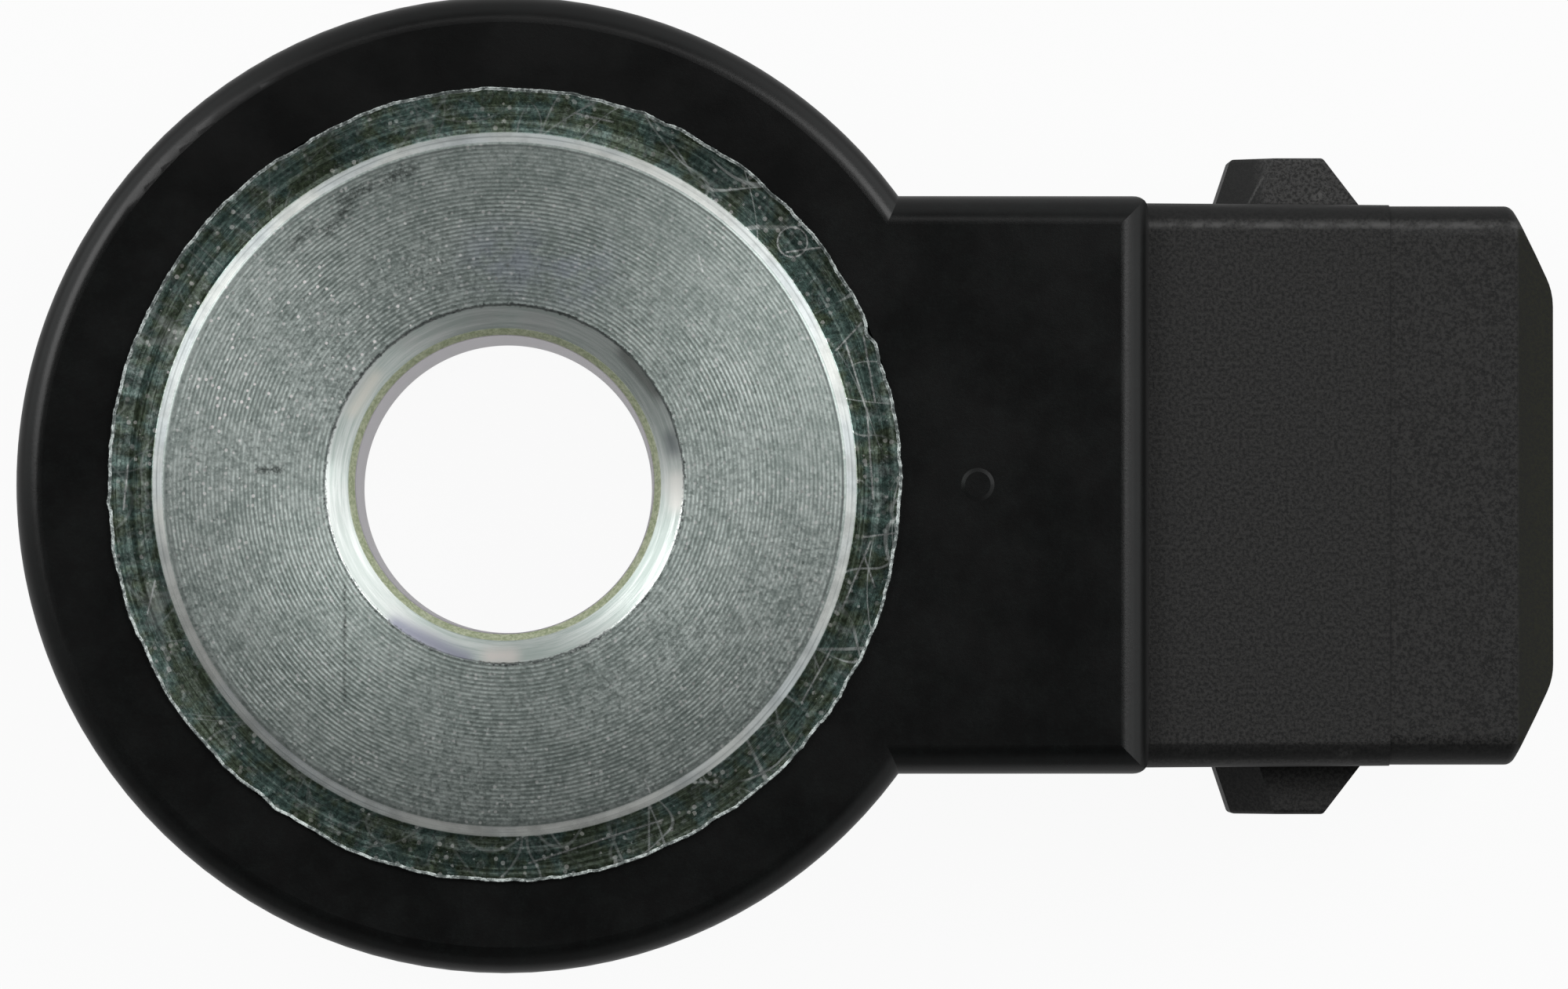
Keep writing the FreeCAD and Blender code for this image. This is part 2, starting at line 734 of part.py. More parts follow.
inserts = doc.addObject("Part::Compound", "moulded_in_pieces")
inserts.Links = [return_contact, signal_contact, return_terminal, signal_terminal, ring_nut]

housing = doc.addObject("Part::Cut", "housing")
housing.Label = "housing"
housing.Base = socketed
housing.Tool = inserts
parts.insert(0, housing)


# Check every object, then write one file for each piece

doc.recompute()
for item in doc.Objects:
    if "Invalid" in item.State or "Error" in item.State:
        raise RuntimeError(f"{item.Label} failed: {item.State}")
for piece in parts:
    if piece.Shape.isNull() or not piece.Shape.isValid():
        raise RuntimeError(f"{piece.Label} has no valid shape")
    if len(piece.Shape.Solids) != 1:
        raise RuntimeError(f"{piece.Label} has {len(piece.Shape.Solids)} solids")

os.makedirs("parts", exist_ok=True)
for piece in parts:
    piece.Shape.exportStep(f"parts/{piece.Label}.step")
    print(piece.Label, round(piece.Shape.Volume, 2), "mm3")
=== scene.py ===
# %% [markdown]
# # An engine knock sensor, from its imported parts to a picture
#
# The sensor is a thick steel ring in a black moulding, with a plug connector on one side. A bolt
# through the ring holds it on the engine, and the flat turned face that we look at is pressed on
# the engine block. The construction comes in as a fixed frame. This lesson gives each piece its
# real finish, turns a finer sleeve, and sets up the camera, the floor and the lamps.
#
# The frame is in metres and its origin is in the middle of the bolt hole. Sizes in this script
# are written in millimetres, because that is how the maker's drawing gives them.

import math

import bmesh
import bpy
from mathutils import Matrix, Vector, noise


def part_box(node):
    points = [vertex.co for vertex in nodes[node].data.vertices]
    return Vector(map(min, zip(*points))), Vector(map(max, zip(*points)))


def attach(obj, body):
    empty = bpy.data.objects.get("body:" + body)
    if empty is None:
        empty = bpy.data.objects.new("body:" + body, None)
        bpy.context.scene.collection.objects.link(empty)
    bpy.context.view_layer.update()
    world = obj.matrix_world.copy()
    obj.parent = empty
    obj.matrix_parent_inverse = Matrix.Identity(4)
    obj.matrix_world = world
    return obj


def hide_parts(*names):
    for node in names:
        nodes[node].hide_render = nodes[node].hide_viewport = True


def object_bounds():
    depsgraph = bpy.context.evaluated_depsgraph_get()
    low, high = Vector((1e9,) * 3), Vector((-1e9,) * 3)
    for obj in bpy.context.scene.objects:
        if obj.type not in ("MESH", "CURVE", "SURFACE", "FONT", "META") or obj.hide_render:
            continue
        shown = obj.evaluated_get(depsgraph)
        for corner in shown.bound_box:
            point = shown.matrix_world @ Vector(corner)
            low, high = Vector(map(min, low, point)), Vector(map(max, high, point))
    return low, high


MM = 0.001

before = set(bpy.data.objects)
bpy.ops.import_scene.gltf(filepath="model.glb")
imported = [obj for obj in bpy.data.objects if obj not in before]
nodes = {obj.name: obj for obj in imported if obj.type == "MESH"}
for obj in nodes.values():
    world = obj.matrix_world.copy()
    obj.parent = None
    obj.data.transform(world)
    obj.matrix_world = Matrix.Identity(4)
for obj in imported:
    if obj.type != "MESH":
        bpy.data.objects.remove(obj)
cad_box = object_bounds()
low, high = cad_box
size = [round((high[axis] - low[axis]) / MM, 2) for axis in range(3)]
print("pieces in the frame:", sorted(nodes))
print("size of the sensor in mm:", size)


# %% [markdown]
# ## The camera
#
# The picture looks straight down the bolt hole from about a third of a metre away, with the plug
# to the right. The hole's far rim sits a little to one side of its near rim, so the camera is not
# quite on the hole's own axis. It hangs over a point between the ring and the plug, and the lens
# is long. A long lens keeps the ring round and its wall nearly hidden.

# %% Camera over the contact face
contact_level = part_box("pressure_sleeve")[1][2] / MM
camera_distance = 340.0
sensor_width = 36.0
focal_length = 276.9
camera_spot = Vector((2.906, -3.945, contact_level + camera_distance))
looked_at = Vector((7.878, -0.288, contact_level))

lens = bpy.data.cameras.new("long_lens")
lens.sensor_width = sensor_width
lens.lens = focal_length
lens.clip_start = 0.01
lens.clip_end = 10.0
camera = bpy.data.objects.new("camera", lens)
bpy.context.scene.collection.objects.link(camera)
bpy.context.scene.camera = camera

gaze = (looked_at - camera_spot).normalized()
right = gaze.cross(Vector((0, 1, 0))).normalized()
upward = right.cross(gaze)
turned = Matrix((right, upward, -gaze)).transposed().to_4x4()
camera.matrix_world = Matrix.Translation(camera_spot * MM) @ turned
print("camera", [round(value, 1) for value in camera_spot], "mm, looking at",
      [round(value, 1) for value in looked_at])


# %% [markdown]
# ## Building a finish from nodes
#
# Every finish below is a small graph of shader nodes. Two helpers keep those graphs readable: one
# lays a node down and sets it up, the other does one step of arithmetic. Both hand back an output,
# so a graph reads like a line of sums. Numbers that are the same all over a surface are set on the
# shader itself.

# %% Helpers for finishes
def new_finish(name):
    """An empty finish: its node tree and the shader that draws the surface."""
    finish = bpy.data.materials.new(name)
    finish.use_nodes = True
    tree = finish.node_tree
    return finish, tree, tree.nodes["Principled BSDF"]


def plug_in(tree, source, socket):
    """Join an output to a socket, or set the socket when the source is a plain value."""
    if isinstance(source, bpy.types.NodeSocket):
        tree.links.new(source, socket)
    else:
        socket.default_value = source


def lay(tree, kind, inputs=(), output=0, **settings):
    """Lay down a node with its settings and inputs, and hand back one of its outputs."""
    node = tree.nodes.new(kind)
    for name, value in settings.items():
        setattr(node, name, value)
    for name, source in dict(inputs).items():
        plug_in(tree, source, node.inputs[name])
    return node.outputs[output]


def calc(tree, operation, first, second=0.0, third=0.0):
    """One step of arithmetic on numbers or outputs."""
    inputs = {0: first, 1: second, 2: third}
    return lay(tree, "ShaderNodeMath", inputs, operation=operation)


def fade(tree, value, start, end, low=0.0, high=1.0):
    """A soft step: low where value is below start, high where it is above end."""
    inputs = {"Value": value, "From Min": start, "From Max": end, "To Min": low, "To Max": high}
    return lay(tree, "ShaderNodeMapRange", inputs, interpolation_type="SMOOTHSTEP")


def tint(tree, share, first, second):
    """First colour where share is 0, second colour where it is 1."""
    mix = tree.nodes.new("ShaderNodeMix")
    mix.data_type = "RGBA"
    plug_in(tree, share, mix.inputs[0])
    plug_in(tree, first, mix.inputs[6])
    plug_in(tree, second, mix.inputs[7])
    return mix.outputs[2]


def place_in_mm(tree):
    """The point on the piece in millimetres, as a vector and as its three numbers."""
    point = lay(tree, "ShaderNodeTexCoord", output="Object")
    scaled = lay(tree, "ShaderNodeVectorMath", {0: point, "Scale": 1 / MM}, operation="SCALE")
    parts = tree.nodes.new("ShaderNodeSeparateXYZ")
    tree.links.new(scaled, parts.inputs[0])
    return scaled, parts.outputs


def mottle(tree, vector, scale, detail=2.0, roughness=0.5, distortion=0.0):
    """Cloudy variation from 0 to 1, scale being its blobs in each millimetre."""
    inputs = {"Vector": vector, "Scale": scale, "Detail": detail, "Roughness": roughness,
              "Distortion": distortion}
    return lay(tree, "ShaderNodeTexNoise", inputs)


def relief(tree, height, depth):
    """A bump from a height of 0 to 1 that stands for depth in millimetres."""
    inputs = {"Strength": 1.0, "Distance": depth * MM, "Height": height}
    return lay(tree, "ShaderNodeBump", inputs)


def grey(level, warmth=0.0):
    """A grey of that linear level, slightly warm or, below zero, cool."""
    return (level * (1 + warmth), level, level * (1 - warmth), 1.0)


def band(tree, value, middle, half, blur):
    """1 within half of the middle, fading to 0 over the blur."""
    away = calc(tree, "ABSOLUTE", calc(tree, "SUBTRACT", value, middle))
    return fade(tree, away, max(half - blur / 2, 0.0), half + blur / 2, 1.0, 0.0)


def distance_to(tree, x, y, across=0.0, up=0.0):
    """How far the point lies from an upright line through (across, up), in millimetres."""
    first = calc(tree, "POWER", calc(tree, "SUBTRACT", x, across), 2.0)
    second = calc(tree, "POWER", calc(tree, "SUBTRACT", y, up), 2.0)
    return calc(tree, "SQRT", calc(tree, "ADD", first, second))


def both(tree, *shares):
    """The product of two or more shares: high only where all of them are high."""
    product = shares[0]
    for share in shares[1:]:
        product = calc(tree, "MULTIPLY", product, share)
    return product


def mark(tree, x, y, spot, length, width, tilt, blur):
    """A straight mark on the upper side: its middle, length, width, tilt in degrees and blur."""
    cosine, sine = math.cos(math.radians(tilt)), math.sin(math.radians(tilt))
    across = calc(tree, "SUBTRACT", x, spot[0])
    up = calc(tree, "SUBTRACT", y, spot[1])
    run = calc(tree, "ADD", calc(tree, "MULTIPLY", across, cosine),
               calc(tree, "MULTIPLY", up, sine))
    side = calc(tree, "SUBTRACT", calc(tree, "MULTIPLY", up, cosine),
                calc(tree, "MULTIPLY", across, sine))
    return both(tree, band(tree, run, 0.0, length / 2, blur),
                band(tree, side, 0.0, width / 2, blur))


def hairline(tree, vector, scale, seed, width):
    """Long thin curved lines, where cloudy noise passes through its middle value."""
    moved = lay(tree, "ShaderNodeVectorMath", {0: vector, 1: (seed, seed * 1.7, seed * 0.3)})
    clouds = mottle(tree, moved, scale, 0.0)
    return band(tree, clouds, 0.5, width * scale * 0.5, width * scale * 0.5)


def dim(tree, colour, factor):
    """A colour made darker or lighter by a factor that may change from place to place."""
    return lay(tree, "ShaderNodeVectorMath", {0: colour, "Scale": factor}, operation="SCALE")


# %% [markdown]
# ## Black glass-filled nylon
#
# Body, neck and connector are one moulding. The mould was polished where it forms the ring and the
# neck, so those are smooth and deep black. It was left finely eroded where it forms the connector,
# so that part scatters more light and looks greyer. The two zones meet at the end of the neck. The
# slanted rim of the mouth is a shade more olive, and a thin parting line runs round the connector.
# One finish does all of it and chooses by the place on the piece.
#
# Handling left its marks as well, and some light and shade is painted in beside them. A paler line
# beside the connector's upper round is partly a worn scuff and partly a painted highlight. The
# parts of the connector's rounds that turn away from the light are darkened with painted shade, and
# the locking ramp has a front darkened with painted shade, a paler grainy side and a short scratch.
# They are marks at given places, broken up by the grain.

# %% Black moulding
neck_end = 18.22
parting_line = 25.1
mouth_bevel_start = 28.73
upper_round_level = 4.0
ramp_foot, ramp_ridge = 8.0, 21.4

nylon, tree, shader = new_finish("black_moulding")
point, (x, y, z) = place_in_mm(tree)
on_connector = fade(tree, x, neck_end - 0.02, neck_end + 0.02)
on_bevel = fade(tree, x, mouth_bevel_start - 0.05, mouth_bevel_start + 0.05)

clouds = mottle(tree, point, 0.35, 4.0, 0.6)
grains = mottle(tree, point, 10.0, 3.0, 0.75)
coarse = mottle(tree, point, 1.6, 4.0, 0.7)
smooth_black = tint(tree, fade(tree, coarse, 0.35, 0.7), (0.0003, 0.0004, 0.0004, 1),
                    (0.0020, 0.0028, 0.0026, 1))
smooth_black = dim(tree, smooth_black, fade(tree, grains, 0.3, 0.7, 0.4, 1.5))
grained_black = tint(tree, fade(tree, grains, 0.38, 0.62), grey(0.0006, 0.04), grey(0.025, 0.04))
colour = tint(tree, on_connector, smooth_black, grained_black)
olive = tint(tree, fade(tree, grains, 0.36, 0.64), (0.002, 0.0022, 0.0001, 1),
             (0.008, 0.0086, 0.0006, 1))
olive = dim(tree, olive, fade(tree, x, mouth_bevel_start, mouth_bevel_start + 0.8, 0.75, 1.1))
colour = tint(tree, on_bevel, colour, olive)
broken = fade(tree, mottle(tree, point, 0.5, 2.0, 0.6), 0.4, 0.6, 0.25, 0.9)
on_line = both(tree, band(tree, x, parting_line, 0.03, 0.04), broken)
colour = tint(tree, on_line, colour, grey(0.004))

# %% Marks, painted shade and painted highlight on the moulding
# The ramp's front is darkened with painted shade. Its side is tinted paler with the grain.
on_ramp = fade(tree, y, ramp_foot, ramp_foot + 0.1)
ramp_front_painted_shade = both(tree, fade(tree, x, ramp_ridge - 0.1, ramp_ridge + 0.1, 1.0, 0.0), on_ramp)
ramp_side = both(tree, fade(tree, x, ramp_ridge + 0.1, ramp_ridge + 0.3), on_ramp)
colour = dim(tree, colour, fade(tree, ramp_front_painted_shade, 0.0, 1.0, 1.0, 0.35))
colour = tint(tree, both(tree, ramp_side, fade(tree, grains, 0.40, 0.60, 0.1, 0.7)),
              colour, grey(0.07, 0.02))
scuffed = calc(tree, "MAXIMUM", mark(tree, x, y, (21.42, 8.44), 1.0, 0.05, 62, 0.06),
               mark(tree, x, y, (23.2, 8.27), 0.35, 0.12, 20, 0.2))
scuffed = calc(tree, "MAXIMUM", scuffed, mark(tree, x, y, (23.8, -7.6), 0.4, 0.12, 0, 0.25))
scuffed = both(tree, scuffed, fade(tree, grains, 0.35, 0.6, 0.1, 0.9))
colour = tint(tree, scuffed, colour, grey(0.10, 0.02))
# Painted shade: the parts of the connector's rounds that turn away from the light are darkened.
upper_part = both(tree, on_connector,
                  fade(tree, z, upper_round_level - 0.1, upper_round_level + 0.1))
round_painted_shade = calc(tree, "MAXIMUM", band(tree, y, 7.74, 0.20, 0.1),
                   band(tree, y, -7.56, 0.22, 0.1))
round_painted_shade = both(tree, round_painted_shade, upper_part)
colour = dim(tree, colour, fade(tree, round_painted_shade, 0.0, 1.0, 1.0, 0.25))
# A paler line beside the upper round, partly a worn scuff and partly a painted highlight.
round_scuff_and_painted_highlight = band(tree, y, 7.37, 0.06, 0.2)
round_scuff_and_painted_highlight = both(tree, round_scuff_and_painted_highlight, upper_part, fade(tree, coarse, 0.36, 0.60, 0.15, 0.9))
colour = tint(tree, round_scuff_and_painted_highlight, colour, grey(0.085, 0.02))
# Painted light: the end of the neck is lifted to a paler grey, against the shade in the groove
# between neck and connector.
neck_end_painted_light = band(tree, x, neck_end - 0.04, 0.05, 0.1)
colour = tint(tree, neck_end_painted_light, colour, grey(0.02))
plug_in(tree, colour, shader.inputs["Base Color"])

# %% Gloss and grain of the moulding
smooth_gloss = fade(tree, clouds, 0.3, 0.7, 0.26, 0.32)
grained_gloss = fade(tree, grains, 0.3, 0.7, 0.44, 0.54)
gloss = lay(tree, "ShaderNodeMix", {0: on_connector, 2: smooth_gloss, 3: grained_gloss})
gloss = lay(tree, "ShaderNodeMix", {0: on_bevel, 2: gloss, 3: 0.72})
plug_in(tree, gloss, shader.inputs["Roughness"])
grain_height = both(tree, grains, fade(tree, on_connector, 0.0, 1.0, 0.30, 1.0))
plug_in(tree, relief(tree, grain_height, 0.008), shader.inputs["Normal"])
shader.inputs["Specular IOR Level"].default_value = 0.43

housing = nodes["housing"]
housing.data.materials.clear()
housing.data.materials.append(nylon)
print("moulding finished")


# %% [markdown]
# ## The turned sleeve
#
# The sleeve is a lathe part, so it is made as one: an outline beside the axis, spun round it. The
# frame's own sleeve has the same outline with sharp corners. Here each corner gets the tiny round
# or burr that the tool leaves, because those thin rims catch the light and make steel look cut.
# The flange's rim was torn rather than cut, so its upper edge is pulled in and out by a little
# noise, with one chip on the side of the plug.

# %% Helpers for turned pieces
def soften(outline, steps=3):
    """Round each corner (radius, level, round) of a closed outline with its own small curve."""
    rounded = []
    count = len(outline)
    for index, (across, level, radius) in enumerate(outline):
        corner = Vector((across, level))
        before = Vector(outline[index - 1][:2])
        after = Vector(outline[(index + 1) % count][:2])
        reach = min(radius, (before - corner).length / 2.5, (after - corner).length / 2.5)
        first = corner + (before - corner).normalized() * reach
        last = corner + (after - corner).normalized() * reach
        for step in range(steps + 1):
            share = step / steps
            rounded.append(first.lerp(corner, share).lerp(corner.lerp(last, share), share))
    return rounded


def spin(name, outline, turns, wobble=None, second=None):
    """Spin a closed outline of (radius, level) in mm round the Z axis into a mesh piece.

    Faces whose outline point passes the test called second take the piece's second finish.
    """
    mesh = bmesh.new()
    rings = []
    for number in range(turns):
        angle = 2 * math.pi * number / turns
        ring = []
        for radius, level in outline:
            if wobble:
                radius, level = wobble(radius, level, angle)
            spot = (radius * math.cos(angle) * MM, radius * math.sin(angle) * MM, level * MM)
            ring.append(mesh.verts.new(spot))
        rings.append(ring)
    for number, ring in enumerate(rings):
        follower = rings[(number + 1) % turns]
        for index in range(len(outline)):
            after = (index + 1) % len(outline)
            face = mesh.faces.new((ring[index], ring[after], follower[after], follower[index]))
            if second and second(*outline[index]):
                face.material_index = 1
    bmesh.ops.recalc_face_normals(mesh, faces=mesh.faces)
    data = bpy.data.meshes.new(name)
    mesh.to_mesh(data)
    mesh.free()
    data.shade_smooth()
    piece = bpy.data.objects.new(name, data)
    bpy.context.scene.collection.objects.link(piece)
    even = piece.modifiers.new("even_shading", "WEIGHTED_NORMAL")
    even.mode = "FACE_AREA"
    even.weight = 90
    return piece


# %% Sleeve outline
sleeve_low, sleeve_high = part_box("pressure_sleeve")
flange_radius = sleeve_high[0] / MM
seat_level = sleeve_low[2] / MM
bore_radius = 4.2
tube_radius = 6.5
throat_radius = bore_radius + 0.21
entry_radius = throat_radius + 0.64
entry_level = contact_level - 0.42
throat_level = entry_level - 0.32
face_radius = 9.6
shelf_level = contact_level - 0.3
flange_back = contact_level - 2.6
end_bevel = 0.3
corner_round = 0.045
worn_round = 0.08
burr_width = 0.07
burr_height = 0.035
chip_azimuth, chip_spread = 22.5, 0.9
sleeve_turns = 1200

sleeve_outline = [
    (entry_radius, contact_level, corner_round),
    (throat_radius, entry_level, corner_round),
    (bore_radius, throat_level, corner_round),
    (bore_radius, seat_level + end_bevel, corner_round),
    (bore_radius + end_bevel, seat_level, corner_round),
    (tube_radius - end_bevel, seat_level, corner_round),
    (tube_radius, seat_level + end_bevel, corner_round),
    (tube_radius, flange_back, corner_round),
    (flange_radius, flange_back, corner_round),
    (flange_radius, shelf_level + burr_height, corner_round),
    (flange_radius - burr_width / 2, shelf_level + burr_height, corner_round),
    (flange_radius - burr_width, shelf_level, corner_round),
    (face_radius + 0.34, shelf_level, 0.02),
    (face_radius + 0.04, contact_level, worn_round),
]


def torn_rim(radius, level, angle):
    """Pull the flange's upper rim in and out a little, as the cutting tool tore it."""
    near_rim = max(0.0, 1 - abs(level - shelf_level) / 0.25) * (radius > flange_radius - 0.12)
    spot = Vector((math.cos(angle), math.sin(angle), 0.0))
    scallops = abs(noise.noise(spot * 8.5))
    scallops += 0.35 * abs(noise.noise(spot * 21 + Vector((3, 0, 0))))
    crumbs = 0.3 * noise.noise(spot * 95) + 0.2 * noise.noise(spot * 210)
    chip = math.exp(-((math.degrees(angle) - chip_azimuth) / chip_spread) ** 2)
    lift = noise.noise(spot * 33 + Vector((7, 0, 0)))
    pull = 0.085 * (0.5 - 1.5 * scallops) + 0.06 * crumbs - 0.12 * chip
    return radius + near_rim * pull, level + near_rim * 0.03 * lift


def on_burr(radius, level):
    """True on the thin lip that the tool pushed up along the flange's rim."""
    return radius > flange_radius - burr_width - 0.01 and level > shelf_level - 0.03


sleeve = spin("turned_sleeve", soften(sleeve_outline), sleeve_turns, torn_rim, on_burr)
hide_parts("pressure_sleeve")
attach(sleeve, "root")
print("sleeve faces:", len(sleeve.data.polygons))


# %% [markdown]
# ## Turned, zinc-plated steel
#
# The lathe tool leaves one long spiral groove on the contact face, a ninth of a millimetre from
# turn to turn. Grooves that run round the axis spread the reflection of a lamp outwards, so the
# face shows soft bright wedges that point to the lamps. The shader's anisotropy does the
# spreading, and a bump of the same spiral draws the single grooves. The first cell works out on
# which of the turned surfaces a point lies, and how high the grooves stand there.

# %% Plated steel
groove_pitch = 0.118

steel, tree, shader = new_finish("turned_zinc_plated_steel")
point, (x, y, _) = place_in_mm(tree)
radius = distance_to(tree, x, y)
turn = calc(tree, "DIVIDE", calc(tree, "ARCTAN2", y, x), 2 * math.pi)
round_x = calc(tree, "DIVIDE", x, radius)
round_y = calc(tree, "DIVIDE", y, radius)
on_shelf = fade(tree, radius, face_radius + 0.30, face_radius + 0.36)
on_rim = band(tree, radius, face_radius + 0.19, 0.14, 0.05)
on_cone = fade(tree, radius, entry_radius - 0.01, entry_radius + 0.02, 1.0, 0.0)
on_throat = fade(tree, radius, throat_radius - 0.02, throat_radius + 0.02, 1.0, 0.0)
in_bore = fade(tree, radius, bore_radius + 0.01, bore_radius + 0.04, 1.0, 0.0)
on_face = calc(tree, "SUBTRACT", 1.0, calc(tree, "MAXIMUM", on_shelf, on_cone))
on_face = calc(tree, "SUBTRACT", on_face, on_rim)

along = lay(tree, "ShaderNodeCombineXYZ", {0: calc(tree, "MULTIPLY", radius, 7.0),
                                            1: calc(tree, "MULTIPLY", round_x, 1.4),
                                            2: calc(tree, "MULTIPLY", round_y, 1.4)})
streaks = mottle(tree, along, 1.0, 4.0, 0.7)
wander = mottle(tree, point, 1.1, 4.0, 0.65)
pits = mottle(tree, point, 9.0, 3.0, 0.8)
patches = mottle(tree, point, 0.3, 4.0, 0.6)

spiral = calc(tree, "SUBTRACT", calc(tree, "DIVIDE", radius, groove_pitch), turn)
wave = calc(tree, "SINE", calc(tree, "MULTIPLY", spiral, 2 * math.pi))
wave = calc(tree, "MULTIPLY", calc(tree, "MULTIPLY_ADD", wave, 0.5, 0.5), on_face)
cut_depth = fade(tree, patches, 0.35, 0.65, 0.6, 1.6)
height = calc(tree, "MULTIPLY", wave, cut_depth)
height = calc(tree, "MULTIPLY_ADD", streaks, fade(tree, on_shelf, 0.0, 1.0, 0.9, 0.5), height)
height = calc(tree, "ADD", height, pits)
smoother = calc(tree, "MAXIMUM", on_rim, on_cone)
height = calc(tree, "MULTIPLY", height, fade(tree, smoother, 0.0, 1.0, 1.0, 0.15))
plug_in(tree, relief(tree, height, 0.0022), shader.inputs["Normal"])

# %% [markdown]
# The face is grey with a cast of green, cloudy in the large and speckled in the small, and the
# grooves are painted a little darker than the ridges between them: painted shade in the grooves and
# a painted sheen on the ridges. Towards its rim the face is darkened with painted shade, against
# the lamps' reflection growing brighter there. Above the hole the plating has a blue cast. The
# shelf outside the face was cut with a smoother tool. It mirrors the dark room more, and that dark
# reflection is painted into its colour: it is drawn deep olive and teal with pale streaks that run
# with the cut. Its colour is lighter towards the top and darker up to the right.

# %% Colours of the face and the shelf
face_dark, face_light = (0.43, 0.505, 0.475, 1), (0.72, 0.795, 0.76, 1)
face_share = calc(tree, "ADD", calc(tree, "MULTIPLY", wander, 0.35),
                  calc(tree, "MULTIPLY", pits, 0.65))
colour = tint(tree, fade(tree, face_share, 0.38, 0.62), face_dark, face_light)
# Painted shade: the face darkens towards its rim, against the lamps' reflection growing brighter
# there.
colour = dim(tree, colour, fade(tree, radius, 6.0, 9.6, 0.95, 0.77))
# Painted shade in the grooves and a painted sheen on the ridges.
uneven = fade(tree, pits, 0.35, 0.65, 0.3, 1.3)
groove_shade = both(tree, fade(tree, wave, 0.0, 0.6, 0.23, 0.0), cut_depth, uneven)
ridge_shine = both(tree, fade(tree, wave, 0.6, 1.0, 0.0, 0.17), cut_depth)
lines = calc(tree, "ADD", calc(tree, "SUBTRACT", 1.0, groove_shade), ridge_shine)
lines = calc(tree, "MULTIPLY_ADD", calc(tree, "SUBTRACT", lines, 1.0), on_face, 1.0)
colour = dim(tree, colour, calc(tree, "MAXIMUM", lines, 0.2))
blued = mark(tree, x, y, (1.0, 6.2), 4.0, 1.6, -8, 1.6)
blued = both(tree, blued, fade(tree, wander, 0.35, 0.65, 0.0, 0.45))
colour = tint(tree, blued, colour, (0.38, 0.42, 0.56, 1))

# The shelf's deep olive and teal stand for the dark room that it mirrors, a painted reflection.
shelf_olive, shelf_teal = (0.125, 0.165, 0.105, 1), (0.14, 0.225, 0.20, 1)
shelf_steel = tint(tree, fade(tree, wander, 0.42, 0.58), shelf_olive, shelf_teal)
shelf_steel = tint(tree, fade(tree, streaks, 0.42, 0.72, 0.0, 0.32), shelf_steel,
                   (0.52, 0.60, 0.56, 1))
smears = fade(tree, mottle(tree, point, 1.6, 4.0, 0.8, 1.5), 0.52, 0.66, 0.0, 0.45)
shelf_steel = tint(tree, smears, shelf_steel, (0.56, 0.62, 0.60, 1))
shelf_steel = dim(tree, shelf_steel, fade(tree, pits, 0.34, 0.66, 0.55, 1.6))
# The shelf's colour is lighter towards the top and darker up to the right.
shelf_lighter_at_top = mark(tree, x, y, (0.0, 10.4), 8.0, 2.6, 0, 2.0)
shelf_steel = dim(tree, shelf_steel, fade(tree, shelf_lighter_at_top, 0.0, 1.0, 1.0, 1.55))
shelf_darker_up_right = mark(tree, x, y, (7.3, 7.3), 6.0, 2.6, -45, 2.0)
shelf_steel = dim(tree, shelf_steel, fade(tree, shelf_darker_up_right, 0.0, 1.0, 1.0, 0.7))
colour = tint(tree, on_shelf, colour, shelf_steel)

# %% [markdown]
# Bevel and cones are bright cuts made by the edge of the tool, and they mirror the lamps almost
# sharply. The bevel has one darker line in its middle. The first cone carries pale streaks, which
# are painted highlights of the lamps, and dark smears, the second cone an olive film of old oil,
# and the hole itself is a cold grey.

# %% Colours of the bevel, the cone and the bore
slow = mottle(tree, point, 0.42, 2.0, 0.5)
rim_steel = tint(tree, fade(tree, slow, 0.35, 0.70), (0.93, 0.94, 0.90, 1),
                 (0.82, 0.87, 0.88, 1))
rim_steel = dim(tree, rim_steel, fade(tree, streaks, 0.3, 0.7, 0.84, 1.04))
rim_steel = dim(tree, rim_steel, fade(tree, wander, 0.35, 0.6, 0.82, 1.04))
rim_line = both(tree, band(tree, radius, face_radius + 0.21, 0.012, 0.05),
                fade(tree, slow, 0.40, 0.60, 0.15, 0.5))
rim_steel = tint(tree, rim_line, rim_steel, (0.30, 0.33, 0.33, 1))
colour = tint(tree, on_rim, colour, rim_steel)
cone_steel = tint(tree, fade(tree, streaks, 0.35, 0.65), (0.60, 0.68, 0.64, 1),
                  (0.90, 0.95, 0.92, 1))
cone_steel = tint(tree, fade(tree, slow, 0.50, 0.60, 0.0, 0.22), cone_steel,
                  (0.84, 0.79, 0.79, 1))
# Each streak, a painted highlight where pale and a smear where dark: its middle, length, width,
# tilt, strength and colour.
cone_highlights_and_smears = [
    ((-2.1, -4.45), 2.6, 0.40, -26, 0.8, (0.34, 0.34, 0.46, 1)),
    ((-0.1, -4.85), 1.0, 0.35, 0, 0.9, (1.0, 0.93, 0.88, 1)),
    ((3.80, 3.12), 1.8, 0.05, -50, 0.55, (0.10, 0.09, 0.08, 1)),
    ((4.72, 1.15), 0.7, 0.30, -76, 0.6, (0.16, 0.17, 0.20, 1)),
    ((4.85, -0.2), 1.1, 0.40, 92, 0.9, (1.0, 0.98, 0.93, 1)),
    ((-3.95, 2.55), 1.5, 0.10, 57, 0.8, (1.0, 0.97, 0.88, 1)),
]
for spot, length, width, tilt, strength, shade in cone_highlights_and_smears:
    cone_streak = calc(tree, "MULTIPLY", mark(tree, x, y, spot, length, width, tilt, 0.5), strength)
    cone_steel = tint(tree, cone_streak, cone_steel, shade)
colour = tint(tree, on_cone, colour, cone_steel)
olive_film = tint(tree, fade(tree, pits, 0.35, 0.65), (0.36, 0.42, 0.24, 1), (0.66, 0.70, 0.50, 1))
colour = tint(tree, on_throat, colour, olive_film)
colour = tint(tree, in_bore, colour, (0.855, 0.83, 0.87, 1))

